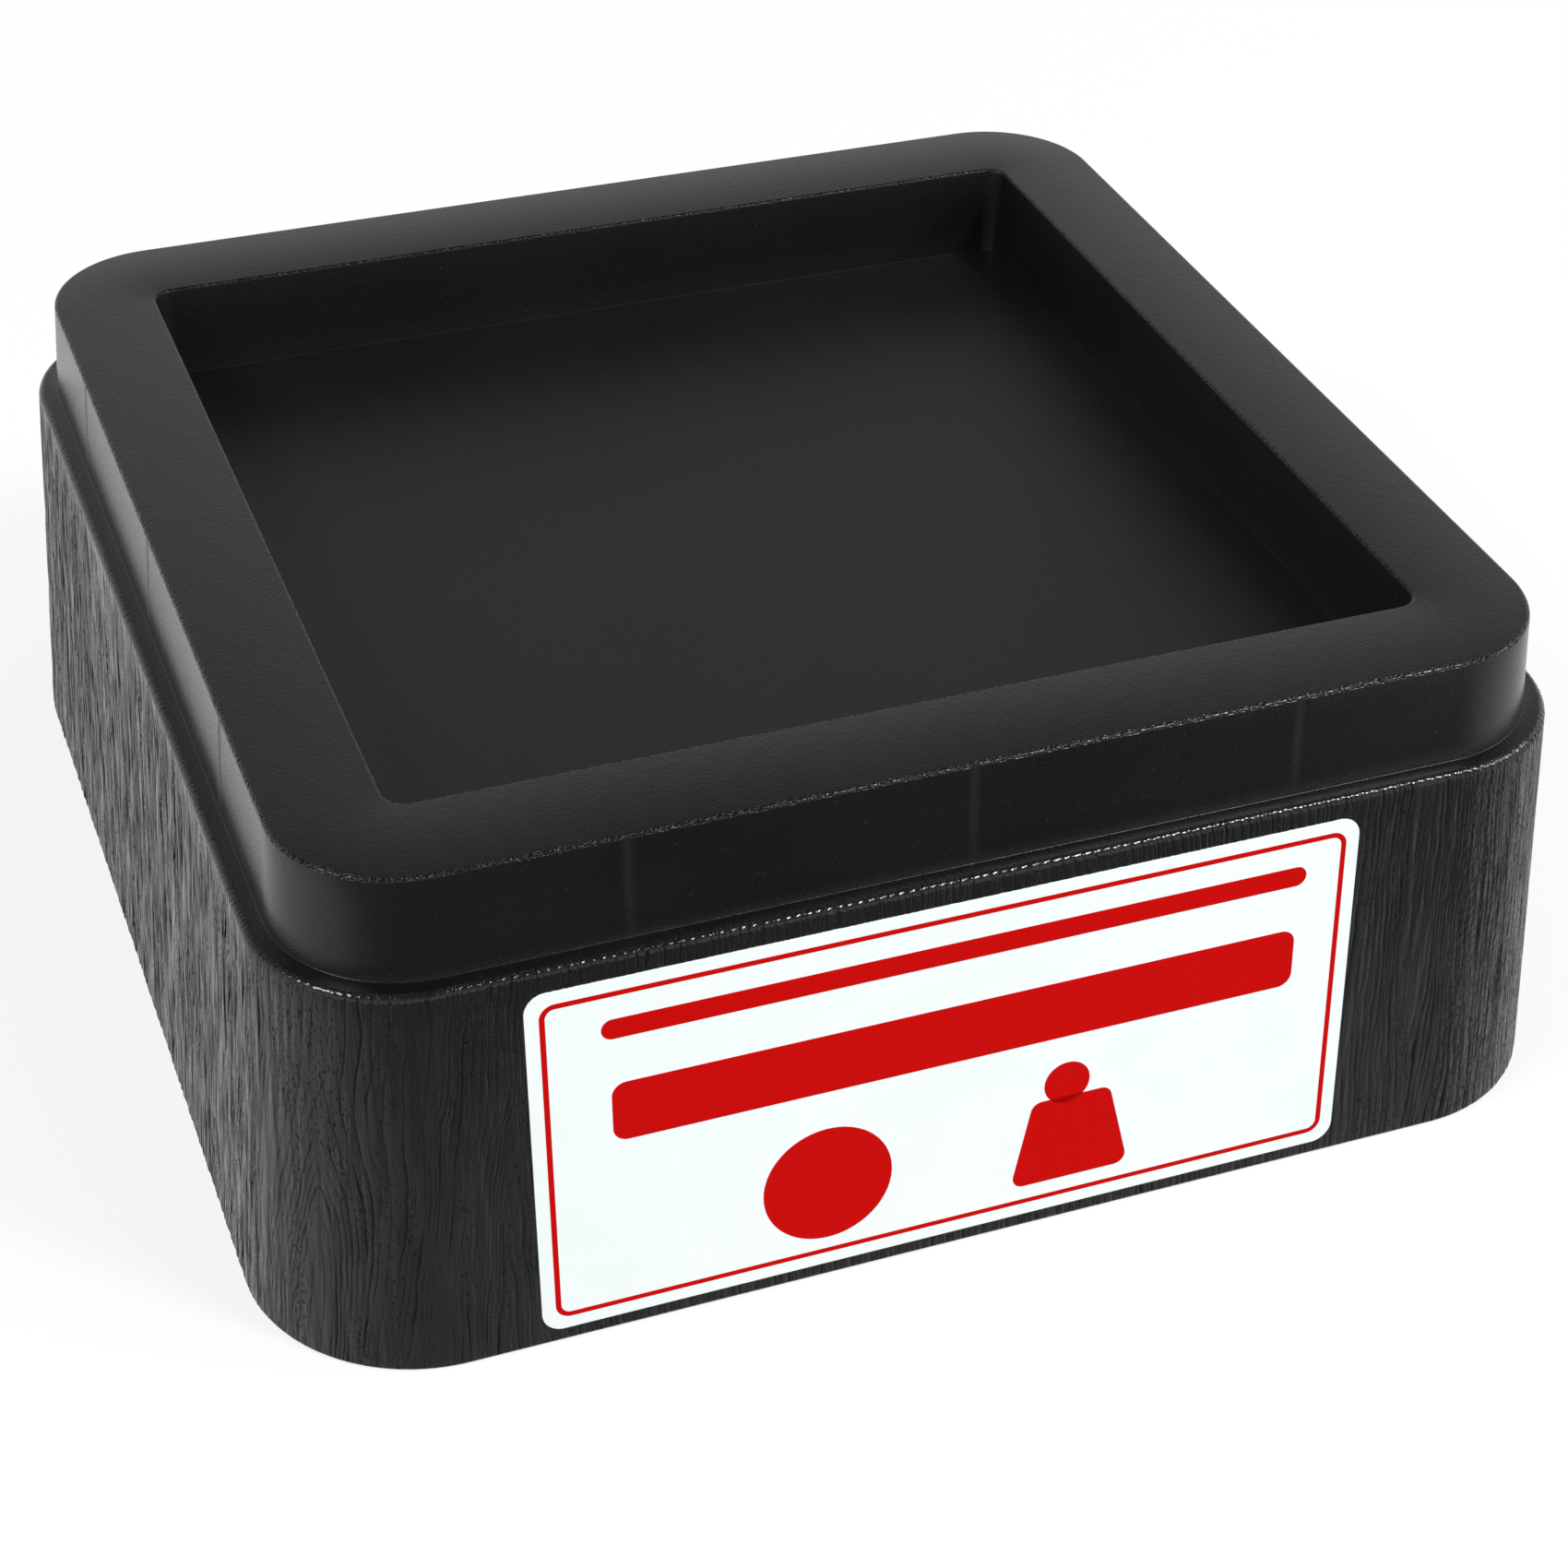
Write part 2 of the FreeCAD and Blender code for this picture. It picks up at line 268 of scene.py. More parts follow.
def along_sides(corner):
    """How far along its side each column stands, and whether it stands on a side at all."""
    on_right_or_left = np.abs(WAYS[:, 0]) > np.abs(WAYS[:, 1])
    return np.where(on_right_or_left, SHARES[:, 1], SHARES[:, 0]) * corner, np.abs(WAYS).max(1) > 0.9999


def sink_marks(corner):
    """How far each column has sunk, as a share of the full depth."""
    along, on_side = along_sides(corner)
    sunk = np.zeros(len(along))
    for place in SINK_PLACES:
        near = np.clip(1 - ((along - place) / SINK_HALF_WIDTH) ** 2, 0, 1)
        sunk = np.maximum(sunk, near ** 1.5)
    return sunk * on_side


def recess_shade(row):
    """How much painted shade, as a lower specular level, the recess gets at a row: its floor a little, its wall
    more, the edge between most. All of the recess is also rougher.
    """
    height = row[1]
    if height > RIM_Z - 0.2:
        return 0.0
    if height < FLOOR_Z + 0.005:
        return 1.0
    return 3.0 if height < FLOOR_Z + 0.1 else 2.0


def skin_faces(loops, sparse, smooth_loops):
    """The faces between each loop of points and the next, and a fan that closes the floor, with their slots."""
    faces, slots = [], []
    for index in range(1, len(loops)):
        inner, outer = loops[index - 1], loops[index]
        if len(inner) == len(outer):
            quads = np.column_stack([inner, outer, np.roll(outer, -1), np.roll(inner, -1)])
            faces.extend(quads.tolist())
            slots.extend([GRAINED if index >= smooth_loops else SATIN] * len(quads))
        else:
            ends = np.append(sparse[1:], len(outer))
            for step, (start, end) in enumerate(zip(sparse, ends)):
                outside = [outer[column % len(outer)] for column in range(start, end + 1)]
                faces.append([inner[step], *outside, inner[(step + 1) % len(inner)]])
                slots.append(SATIN)
    middle = sum(len(loop) for loop in loops)
    first = loops[0]
    faces.extend([[middle, a, b] for a, b in zip(first, np.roll(first, -1))])
    slots.extend([SATIN] * len(first))
    return [[int(corner) for corner in face] for face in faces], slots


def outer_skin():
    """The moulding's outer faces as one sheet, open only where it meets the hollow at the foot."""
    everywhere = np.arange(len(SHARES))
    along, on_side = along_sides(COLLAR_CORNER)
    near_mark = np.zeros(len(SHARES), bool)
    for place in SINK_PLACES:
        near_mark |= (np.abs(along - place) < CLOSE_TO_MARK) & on_side
    sparse = np.flatnonzero(near_mark | (everywhere % SPARSE_STEP == 0))
    points, loops = [], []
    notes = {name: [] for name in ("around", "grain", "edge", "inside", "sunken")}

    def lay(row, corner, columns, grain=0.0, edge=0.0, inside=0.0, sink=0.0):
        half, height = row[:2]
        sunken = sink_marks(corner)[columns] * (sink > 0)
        flat = corner * SHARES[columns] + (half - corner) * WAYS[columns]
        flat = flat - sink * sunken[:, None] * WAYS[columns]
        first = sum(len(loop) for loop in loops)
        loops.append(np.arange(first, first + len(columns)))
        points.append(np.column_stack([flat, np.full(len(columns), height)]))
        for name, value in zip(notes, (GONE[columns], grain, edge, inside, sunken)):
            notes[name].append(np.broadcast_to(value, len(columns)))

    for row in recess_rows():
        scale = min(1.0, row[0] / (FLOOR_HALF - FLOOR_ROUND)) if row[1] < FLOOR_Z + 0.01 else 1.0
        on_edge = row[1] > RIM_Z - MOUTH_ROUND and math.pi / 2 + 0.2 < row[2] < math.pi - 0.3
        lay(row, FLOOR_CORNER * scale, sparse, edge=0.6 if on_edge else 0.0, inside=recess_shade(row))
    for row in collar_rows():
        on_edge = row[1] > RIM_Z - RIM_ROUND and 0.2 < row[2] < 1.4
        on_wall = abs(row[2] - COLLAR_DRAFT) < 0.01
        lay(row, COLLAR_CORNER, sparse, edge=1.0 if on_edge else 0.0, sink=SINK_DEPTH if on_wall else 0.0)
    smooth_loops = len(loops)
    for row in skirt_rows():
        grain = np.clip(row[1] / FOOT_ROUND, 0, 1) * max(0.0, math.cos(row[2])) ** 2
        edge = max(0.0, math.sin(2 * row[2])) if row[1] > LEDGE_Z - LEDGE_ROUND else 0.0
        lay(row, SKIRT_CORNER, everywhere, grain=grain, edge=edge)
    points.append(np.array([[0.0, 0.0, FLOOR_Z]]))
    for name in notes:
        notes[name].append(np.ones(1) if name == "inside" else np.zeros(1))

    faces, slots = skin_faces(loops, sparse, smooth_loops)
    mesh = bpy.data.meshes.new("outer_skin")
    mesh.from_pydata((np.concatenate(points) * MM).tolist(), [], faces)
    mesh.polygons.foreach_set("material_index", slots)
    for name, values in notes.items():
        attribute = mesh.attributes.new(name, "FLOAT", "POINT")
        attribute.data.foreach_set("value", np.concatenate(values).astype(np.float32))
    return mesh


def outline_distance(points):
    """How far each point lies from the outer outline, in millimetres."""
    flat = np.abs(points[:, :2])
    best = np.full(len(points), np.inf)
    outlines = ((recess_rows(), FLOOR_CORNER), (collar_rows(), COLLAR_CORNER), (skirt_rows(), SKIRT_CORNER))
    for rows, corner in outlines:
        beyond = np.maximum(flat - corner, 0)
        in_corner = corner + np.hypot(beyond[:, 0], beyond[:, 1])
        half = np.where(beyond.max(1) > 0, in_corner, flat.max(1))
        here = np.column_stack([half, points[:, 2]])
        ends = np.array([row[:2] for row in rows])
        for a, b in zip(ends[:-1], ends[1:]):
            step = b - a
            share = np.clip(((here - a) @ step) / max(step @ step, 1e-9), 0, 1)
            best = np.minimum(best, np.linalg.norm(here - a - share[:, None] * step, axis=1))
    return best


def hollow():
    """The faces of the hollow underside, with its ribs, copied from the solid without its outer faces."""
    near, level = 0.4, 0.05
    shell = bmesh.new()
    shell.from_mesh(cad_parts["riser_body"].data)
    bmesh.ops.remove_doubles(shell, verts=shell.verts, dist=2e-6)
    middles = np.array([face.calc_center_median() for face in shell.faces]) / MM
    flat, height = np.abs(middles[:, :2]).max(1), middles[:, 2]
    upward = np.array([face.normal.z for face in shell.faces]) > 0.9
    outer = outline_distance(middles) < near
    outer |= (np.abs(height - LEDGE_Z) < level) & upward
    outer |= height > RIM_Z - level
    outer |= (np.abs(height - FLOOR_Z) < level) & (flat < FLOOR_HALF + 0.5)
    outer |= height < 0.01
    bmesh.ops.delete(shell, geom=[face for face, out in zip(shell.faces, outer) if out], context="FACES")
    for face in shell.faces:
        face.smooth = True
        face.material_index = MOULDED
    for edge in shell.edges:
        if len(edge.link_faces) == 2 and edge.calc_face_angle(0.0) > math.radians(20):
            edge.smooth = False
    mesh = bpy.data.meshes.new("hollow")
    shell.to_mesh(mesh)
    shell.free()
    return mesh


def close_foot(mesh):
    """Fills the flat ring that the riser stands on."""
    shell = bmesh.new()
    shell.from_mesh(mesh)
    rim = [edge for edge in shell.edges if edge.is_boundary]
    ring = bmesh.ops.triangle_fill(shell, use_beauty=False, use_dissolve=False, edges=rim)
    for face in ring["geom"]:
        if isinstance(face, bmesh.types.BMFace):
            face.material_index = MOULDED
            if face.normal.z > 0:
                face.normal_flip()
    for edge in rim:
        edge.smooth = False
    shell.to_mesh(mesh)
    shell.free()


# Wood grain

# Where the rings close over a heart: distance round the skirt, the heights between which they close, how many
# millimetres of rings do, and how far the heart leans for each millimetre below its closed end.
HEARTS = (
    (508.8, 8.0, 46.0, 5.7, 0.10),
    (556.0, 70.0, -14.0, 5.0, 0.02),
    (604.0, -8.0, 66.0, 6.0, -0.03),
    (659.0, 62.0, -10.0, 2.6, 0.0),
    (16.0, -6.0, 70.0, 5.0, 0.04),
    (62.0, -10.0, 52.0, 6.0, -0.06),
    (112.0, 70.0, 6.0, 5.5, 0.03),
    (158.0, 4.0, 44.0, 6.0, 0.08),
    (214.0, 66.0, -10.0, 5.0, -0.04),
    (262.0, 0.0, 46.0, 6.0, 0.05),
    (305.0, 4.0, 74.0, 5.0, -0.02),
    (352.0, 66.0, -4.0, 5.0, 0.03),
    (398.0, -4.0, 62.0, 6.0, -0.05),
    (446.0, 72.0, 4.0, 5.5, 0.02),
)

# How far to each side a heart bends the rings, as a square in square millimetres, and how full their tips are.
HEART_SPREAD = 120.0
TIP_FULLNESS = 1.6

# The rings stand now closer, now wider, in a slow and a quick wave: millimetres of rings to a wave, and strength.
SLOW_WAVE, SLOW_STRENGTH = 9.5, 0.42
QUICK_WAVE, QUICK_STRENGTH = 4.1, 0.22

GRAIN_SIZES = {
    "Ring pitch": 0.85,
    "Groove depth": 0.085,
    "Groove width": 0.36,
    "Vein depth": 0.05,
    "Vein width": 0.42,
    "Relief depth": 0.23,
    "Bead pitch": 1.4,
    "Bead depth": 0.22,
    "Wander": 1.0,
    "Seed": 2.0,
}

# Every so many rings one is a deeper vein.
VEIN_EVERY = 3

# Stretches of the trip round the skirt over which its looks change, in millimetres.
BACK_TO_LEFT = (320.0, 350.0)
FRONT_TO_LEFT = (504.0, 490.0)
LEFT_TO_FRONT = (485.0, 505.0)
FRONT_TO_RIGHT = (662.0, 674.0)
LAST_OF_TRIP = (686.0, 699.0)
BACK_TO_RIGHT = (150.0, 130.0)
INTO_LAST_CORNER = (662.0, 667.0)
OUT_OF_LAST_CORNER = (692.0, 684.0)


def growth_rings(tree, place, around, height, size):
    """Which ring a point of the skirt is on, and how many rings pass in a millimetre there."""
    seed = size["Seed"]
    slow = stretched_noise(tree, place, 13.0, 42.0, 1.0, seed) - 0.5
    medium = stretched_noise(tree, place, 4.5, 15.0, 1.0, seed + 3.1) - 0.5
    quick = stretched_noise(tree, place, 1.3, 3.6, 1.0, seed + 7.7) - 0.5
    drift = (slow * 6.0 + medium * 2.2 + quick * 0.6) * size["Wander"]
    nearest = slowing = None
    for middle, foot, tip, rise, lean in HEARTS:
        away = around + drift - (height - tip) * lean - middle
        aside = away.math("WRAP", PERIMETER / 2, -PERIMETER / 2).math("ABSOLUTE")
        spread = aside * aside + HEART_SPREAD
        closing = height.ramp(foot, tip, 0.0, rise) * HEART_SPREAD / spread
        reach = aside.math("POWER", TIP_FULLNESS) + closing.math("POWER", TIP_FULLNESS) + 0.02
        reach = reach.math("POWER", 1 / TIP_FULLNESS)
        flatter = (closing / reach).math("POWER", TIP_FULLNESS - 1) * closing * aside * 2.0 / spread
        slowed = ((aside / reach).math("POWER", TIP_FULLNESS - 1) - flatter).math("MAXIMUM", 0.25)
        if nearest is None:
            nearest, slowing = reach, slowed
        else:
            nearer = reach.math("LESS_THAN", nearest)
            nearest = nearest.math("MINIMUM", reach)
            slowing = slowing + (slowed - slowing) * nearer
    turn_slow = nearest * (2 * math.pi / SLOW_WAVE)
    turn_quick = nearest * (2 * math.pi / QUICK_WAVE) + 1.0
    ring = nearest / size["Ring pitch"]
    ring = ring - turn_slow.math("SINE") * (SLOW_STRENGTH * SLOW_WAVE / (2 * math.pi))
    ring = ring + turn_quick.math("SINE") * (QUICK_STRENGTH * QUICK_WAVE / (2 * math.pi))
    rate = turn_slow.math("COSINE") * -SLOW_STRENGTH + turn_quick.math("COSINE") * QUICK_STRENGTH
    rate = rate + 1.0 / size["Ring pitch"]
    return ring, rate * slowing


def off_line(ring, rate, every):
    """How many millimetres a point lies off the nearest of every so many ring lines."""
    phase = (ring / every).math("FRACT")
    return phase.math("MINIMUM", 1.0 - phase) * every / rate


def off_front(around):
    """How deep the coarser relief is at a distance round the skirt: full on the left, slight on the front."""
    left = around.ramp(*FRONT_TO_LEFT) * around.ramp(*BACK_TO_LEFT, 0.35, 1.0)
    right = around.ramp(*FRONT_TO_RIGHT, 0.0, 0.3) + around.ramp(*LAST_OF_TRIP, 0.0, 0.05)
    return left.math("MAXIMUM", right) * 0.79 + 0.21


def wood_grain():
    """Nodes that press grooves, deeper veins and a soft relief into the skirt, and beads along its top edge."""
    tree = bpy.data.node_groups.new("wood_grain", "GeometryNodeTree")
    sockets = tree.interface
    sockets.new_socket("Geometry", in_out="INPUT", socket_type="NodeSocketGeometry")
    for name in GRAIN_SIZES:
        sockets.new_socket(name, in_out="INPUT", socket_type="NodeSocketFloat")
    sockets.new_socket("Plastic", in_out="INPUT", socket_type="NodeSocketMaterial")
    sockets.new_socket("Geometry", in_out="OUTPUT", socket_type="NodeSocketGeometry")
    given = tree.nodes.new("NodeGroupInput")
    size = {name: Wire(tree, given.outputs[name]) for name in GRAIN_SIZES}

    def attribute(name):
        node = add_node(tree, "GeometryNodeInputNamedAttribute", {"data_type": "FLOAT"}, Name=name)
        return Wire(tree, node.outputs["Attribute"])

    place = Wire(tree, tree.nodes.new("GeometryNodeInputPosition").outputs[0])
    split = add_node(tree, "ShaderNodeSeparateXYZ", Vector=place)
    height = Wire(tree, split.outputs["Z"]) / MM
    grain, around, edge = attribute("grain"), attribute("around"), attribute("edge")
    ring, rate = growth_rings(tree, place, around, height, size)

    fading = stretched_noise(tree, place, 2.2, 12.0, 1.0, size["Seed"] + 11.3).ramp(0.30, 0.48)
    groove = off_line(ring, rate, 1).ramp(size["Groove width"], 0.0) * fading
    strong = stretched_noise(tree, place, 2.6, 17.0, 1.0, size["Seed"] + 23.3).ramp(0.44, 0.56)
    vein = off_line(ring, rate, VEIN_EVERY).ramp(size["Vein width"], 0.0) * strong
    relief = stretched_noise(tree, place, 1.0, 14.0, 1.0, size["Seed"] + 17.9).ramp(0.36, 0.64)
    relief = relief * off_front(around) * height.ramp(57.2, 53.5)
    uneven = stretched_noise(tree, place, 4.0, 4.0, 1.0, size["Seed"] + 29.1)
    swing = (around / size["Bead pitch"] + uneven * 0.9) * math.pi
    shown = around.ramp(*LEFT_TO_FRONT).math("MAXIMUM", around.ramp(*BACK_TO_RIGHT)).ramp(0.0, 1.0, 0.06, 1.0)
    bead = (1.0 - swing.math("SINE").math("ABSOLUTE")) * uneven.ramp(0.3, 0.55, 0.65, 1.0) * shown
    depth = groove * size["Groove depth"] + vein * size["Vein depth"] + relief * size["Relief depth"]
    depth = (depth * (1.0 - edge * 0.85) + bead * edge * size["Bead depth"]) * grain * -MM

    normal = Wire(tree, tree.nodes.new("GeometryNodeInputNormal").outputs[0])
    push = add_node(tree, "ShaderNodeVectorMath", {"operation": "SCALE"}, Scale=depth)
    plug(tree, normal, push.inputs[0])
    pressed = add_node(tree, "GeometryNodeSetPosition", Geometry=Wire(tree, given.outputs["Geometry"]),
                       Offset=Wire(tree, push.outputs[0]))
    real = add_node(tree, "GeometryNodeRealizeInstances", Geometry=Wire(tree, pressed.outputs[0]))
    finish = add_node(tree, "GeometryNodeSetMaterial", Geometry=Wire(tree, real.outputs[0]),
                      Selection=grain.math("GREATER_THAN", 0.02), Material=Wire(tree, given.outputs["Plastic"]))
    out = tree.nodes.new("NodeGroupOutput")
    plug(tree, Wire(tree, finish.outputs[0]), out.inputs["Geometry"])
    return tree


def press_grain(mesh, plastic):
    """The mesh with the grain pressed in, as a plain mesh."""
    blank = add_object("riser_blank", mesh)
    tree = wood_grain()
    modifier = blank.modifiers.new("wood_grain", "NODES")
    modifier.node_group = tree
    sizes = {**GRAIN_SIZES, "Plastic": plastic}
    for item in tree.interface.items_tree:
        if item.item_type == "SOCKET" and item.in_out == "INPUT" and item.name in sizes:
            modifier[item.identifier] = sizes[item.name]
    bpy.context.view_layer.update()
    graph = bpy.context.evaluated_depsgraph_get()
    pressed = bpy.data.meshes.new_from_object(blank.evaluated_get(graph))
    bpy.data.objects.remove(blank)
    return pressed


def trace_round(mesh):
    """Notes the distance round the skirt on each face's own corners, so that it runs on where the trip ends."""
    around = np.zeros(len(mesh.vertices), np.float32)
    mesh.attributes["around"].data.foreach_get("value", around)
    corners = np.zeros(len(mesh.loops), np.int32)
    starts = np.zeros(len(mesh.polygons), np.int32)
    counts = np.zeros(len(mesh.polygons), np.int32)
    mesh.loops.foreach_get("vertex_index", corners)
    mesh.polygons.foreach_get("loop_start", starts)
    mesh.polygons.foreach_get("loop_total", counts)
    values = around[corners]
    furthest = np.repeat(np.maximum.reduceat(values, starts), counts)
    values[(values < 1.0) & (furthest > PERIMETER / 2)] += PERIMETER
    mesh.attributes.new("way_round", "FLOAT", "CORNER").data.foreach_set("value", values)


# Finishes

def finish_tree(name, refraction):
    """A new material's tree with its shader, and the place of a point on the piece."""
    material = bpy.data.materials.new(name)
    material.use_nodes = True
    tree = material.node_tree
    shader = next(node for node in tree.nodes if node.type == "BSDF_PRINCIPLED")
    shader.inputs["IOR"].default_value = refraction
    return material, tree, shader, coordinates(tree, "Object")


def noted(tree, name):
    """The value of an attribute of the piece."""
    node = add_node(tree, "ShaderNodeAttribute", {"attribute_name": name})
    return Wire(tree, node.outputs["Fac"])


def blend_colours(tree, share, first, second):
    """From the first colour to the second as share goes from 0 to 1."""
    node = add_node(tree, "ShaderNodeMix", {"data_type": "RGBA"})
    plug(tree, share, node.inputs[0])
    plug(tree, first, node.inputs[6])
    plug(tree, second, node.inputs[7])
    return Wire(tree, node.outputs[2])


def raise_surface(tree, shader, height):
    """Bends the light as a surface would whose height is given in millimetres."""
    bump = add_node(tree, "ShaderNodeBump", Strength=1.0, Distance=MM, Height=height)
    plug(tree, Wire(tree, bump.outputs[0]), shader.inputs["Normal"])


def grained_plastic():
    """Moulded black plastic with incised growth rings, fine fibres and open pores, with painted shade in the
    grooves and pores and painted highlights along the ridges.
    """
    material, tree, shader, place = finish_tree("grained_black_plastic", PLASTIC_IOR)
    split = add_node(tree, "ShaderNodeSeparateXYZ", Vector=place)
    height = Wire(tree, split.outputs["Z"]) / MM
    way_round = noted(tree, "way_round")
    edge = noted(tree, "edge")
    ring, rate = growth_rings(tree, place, way_round, height, GRAIN_SIZES)
    fading = stretched_noise(tree, place, 1.6, 9.0, 1.0, 4.0).ramp(0.26, 0.60)
    strong = stretched_noise(tree, place, 2.6, 17.0, 1.0, 6.0).ramp(0.44, 0.56)
    bold = stretched_noise(tree, place, 11.0, 60.0, 1.0, 7.0).ramp(0.36, 0.62, 0.6, 1.0)
    thin = off_line(ring, rate, 1).ramp(0.17, 0.04) * fading
    line = thin.math("MAXIMUM", off_line(ring, rate, VEIN_EVERY).ramp(0.24, 0.08) * strong) * bold
    fibre = stretched_noise(tree, place, 0.4, 7.0, 2.0, 1.0)
    coarse = off_front(way_round) * height.ramp(57.5, 51.0)
    # The ridges are real bumps, and they also carry painted highlights through the specular level.
    ridge = stretched_noise(tree, place, 1.5, 18.0, 1.0, 8.0).ramp(0.40, 0.60)
    corner = way_round.ramp(*INTO_LAST_CORNER) * way_round.ramp(*OUT_OF_LAST_CORNER)
    zone = stretched_noise(tree, place, 4.0, 34.0, 1.0, 5.0).ramp(0.42, 0.56).math("MAXIMUM", corner)
    pore = stretched_noise(tree, place, 0.30, 0.85, 1.0, 2.0).ramp(0.575, 0.65) * zone
    cloud = stretched_noise(tree, place, 18.0, 40.0, 2.0, 3.0)
    pebble = stretched_noise(tree, place, 0.55, 1.3, 1.0, 9.0) * corner
    # Painted shade: the grooves and pores get a darker base colour and a lower specular level in place of the shade
    # that falls into them. They are also rougher.
    groove_and_pore_shade = line.math("MAXIMUM", pore * 0.8)
    fine = fibre * 0.08 + pebble * 0.22 - line * 0.06 - pore * 0.08
    raise_surface(tree, shader, ridge * coarse * 0.30 + fine * (1.0 - edge * 0.8))
    colour = blend_colours(tree, cloud.ramp(0.3, 0.7), (0.0058, 0.0059, 0.0062, 1), (0.0074, 0.0075, 0.0077, 1))
    plug(tree, blend_colours(tree, groove_and_pore_shade * 0.7, colour, (0.002, 0.002, 0.0022, 1)), shader.inputs["Base Color"])
    rough = fibre * 0.12 + cloud * 0.06 + groove_and_pore_shade * 0.20 + 0.18
    plug(tree, rough * (1.0 - edge * 0.6), shader.inputs["Roughness"])
    # Painted highlight and shade in the specular level: raised along the ridges and lowered between them, most on
    # the left side, and lowered in the grooves and pores.
    plug(tree, 0.54 - groove_and_pore_shade * 0.40 + (ridge * 0.6 - 0.24) * coarse, shader.inputs["Specular IOR Level"])
    return material


def satin_plastic():
    """The same plastic off a smooth spark-finished tool, its edges a little uneven."""
    material, tree, shader, place = finish_tree("satin_black_plastic", PLASTIC_IOR)
    edge = noted(tree, "edge")
    inside = noted(tree, "inside")
    fine = stretched_noise(tree, place, 0.36, 0.36, 2.0, 1.0)
    orange = stretched_noise(tree, place, 1.3, 1.3, 2.0, 2.0)
    cloud = stretched_noise(tree, place, 22.0, 22.0, 3.0, 3.0)
    nicked = stretched_noise(tree, place, 0.55, 0.55, 2.0, 4.0).ramp(0.42, 0.60) * edge
    raise_surface(tree, shader, fine * 0.038 + orange * 0.014 - nicked * 0.08)
    colour = blend_colours(tree, cloud.ramp(0.35, 0.65), (0.0032, 0.0033, 0.0035, 1), (0.0042, 0.0043, 0.0045, 1))
    speck = stretched_noise(tree, place, 0.35, 0.35, 0.0, 5.0).ramp(0.74, 0.82)
    plug(tree, blend_colours(tree, speck, colour, (0.022, 0.022, 0.022, 1)), shader.inputs["Base Color"])
    rough = fine * 0.10 + cloud * 0.06 + 0.19 + inside.math("MINIMUM", 1.0) * 0.19 + noted(tree, "sunken") * 0.20
    plug(tree, rough * (1.0 - edge * 0.35), shader.inputs["Roughness"])
    # Painted shade: the specular level falls in the recess, most at the floor's edge, in place of the shade that
    # falls there.
    plug(tree, 0.5 - inside * 0.11 - nicked * 0.32, shader.inputs["Specular IOR Level"])
    return material


def moulded_plastic():
    """The plain duller plastic inside the hollow, with faint flow marks."""
    material, tree, shader, place = finish_tree("moulded_black_plastic", PLASTIC_IOR)
    flow = stretched_noise(tree, place, 14.0, 60.0, 4.0, 1.0)
    fine = stretched_noise(tree, place, 0.5, 0.5, 2.0, 2.0)
    raise_surface(tree, shader, flow * 0.25 + fine * 0.008)
    colour = blend_colours(tree, flow.ramp(0.3, 0.7), (0.0065, 0.0066, 0.0070, 1), (0.0100, 0.0100, 0.0102, 1))
    plug(tree, colour, shader.inputs["Base Color"])
    plug(tree, flow * 0.14 + 0.36, shader.inputs["Roughness"])
    return material


def label_film():
    """White printed film, very slightly uneven over the grain it is stuck to."""
    material, tree, shader, place = finish_tree("label_film_white", FILM_IOR)
    under = stretched_noise(tree, place, 1.4, 16.0, 2.0, 1.0)
    wave = stretched_noise(tree, place, 9.0, 9.0, 1.0, 2.0)
    raise_surface(tree, shader, under * 0.012 + wave * 0.02)
    colour = blend_colours(tree, wave.ramp(0.3, 0.7), (0.90, 0.965, 0.965, 1), (0.92, 0.985, 0.985, 1))
    plug(tree, colour, shader.inputs["Base Color"])
    plug(tree, under * 0.08 + 0.30, shader.inputs["Roughness"])
    return material


def label_ink():
    """Red ink on the film."""
    material, tree, shader, place = finish_tree("label_ink_red", FILM_IOR)
    under = stretched_noise(tree, place, 1.4, 16.0, 2.0, 1.0)
    speck = stretched_noise(tree, place, 0.35, 0.35, 2.0, 2.0)
    raise_surface(tree, shader, under * 0.012)
    colour = blend_colours(tree, speck.ramp(0.3, 0.7), (0.54, 0.0018, 0.0015, 1), (0.59, 0.0025, 0.0019, 1))
    plug(tree, colour, shader.inputs["Base Color"])
    plug(tree, under * 0.08 + 0.34, shader.inputs["Roughness"])
    plug(tree, 0.03, shader.inputs["Specular IOR Level"])
    return material


# Label

def on_front(x, up, proud):
    """The point of the skirt's front at x and up its slope, so far proud of it, in metres."""
    cos, sin = math.cos(SKIRT_DRAFT), math.sin(SKIRT_DRAFT)
    return (x * MM, -(FOOT_HALF - up * sin + proud * cos) * MM, (up * cos + proud * sin) * MM)


def disc(middle, radius, steps):
    """Points round a disc, counter-clockwise."""
    return [(middle[0] + radius * math.cos(angle), middle[1] + radius * math.sin(angle))
            for angle in np.linspace(0, 2 * math.pi, steps + 1)[:-1]]


def rounded_box(middle, size, corner, steps):
    """Points round a rectangle with rounded corners, counter-clockwise."""
    half = (size[0] / 2 - corner, size[1] / 2 - corner)
    ring = []
    for quarter, (right, up) in enumerate(((1, 1), (-1, 1), (-1, -1), (1, -1))):
        for step in range(steps + 1):
            angle = (quarter + step / steps) * math.pi / 2
            ring.append((middle[0] + right * half[0] + corner * math.cos(angle),
                         middle[1] + up * half[1] + corner * math.sin(angle)))
    return ring


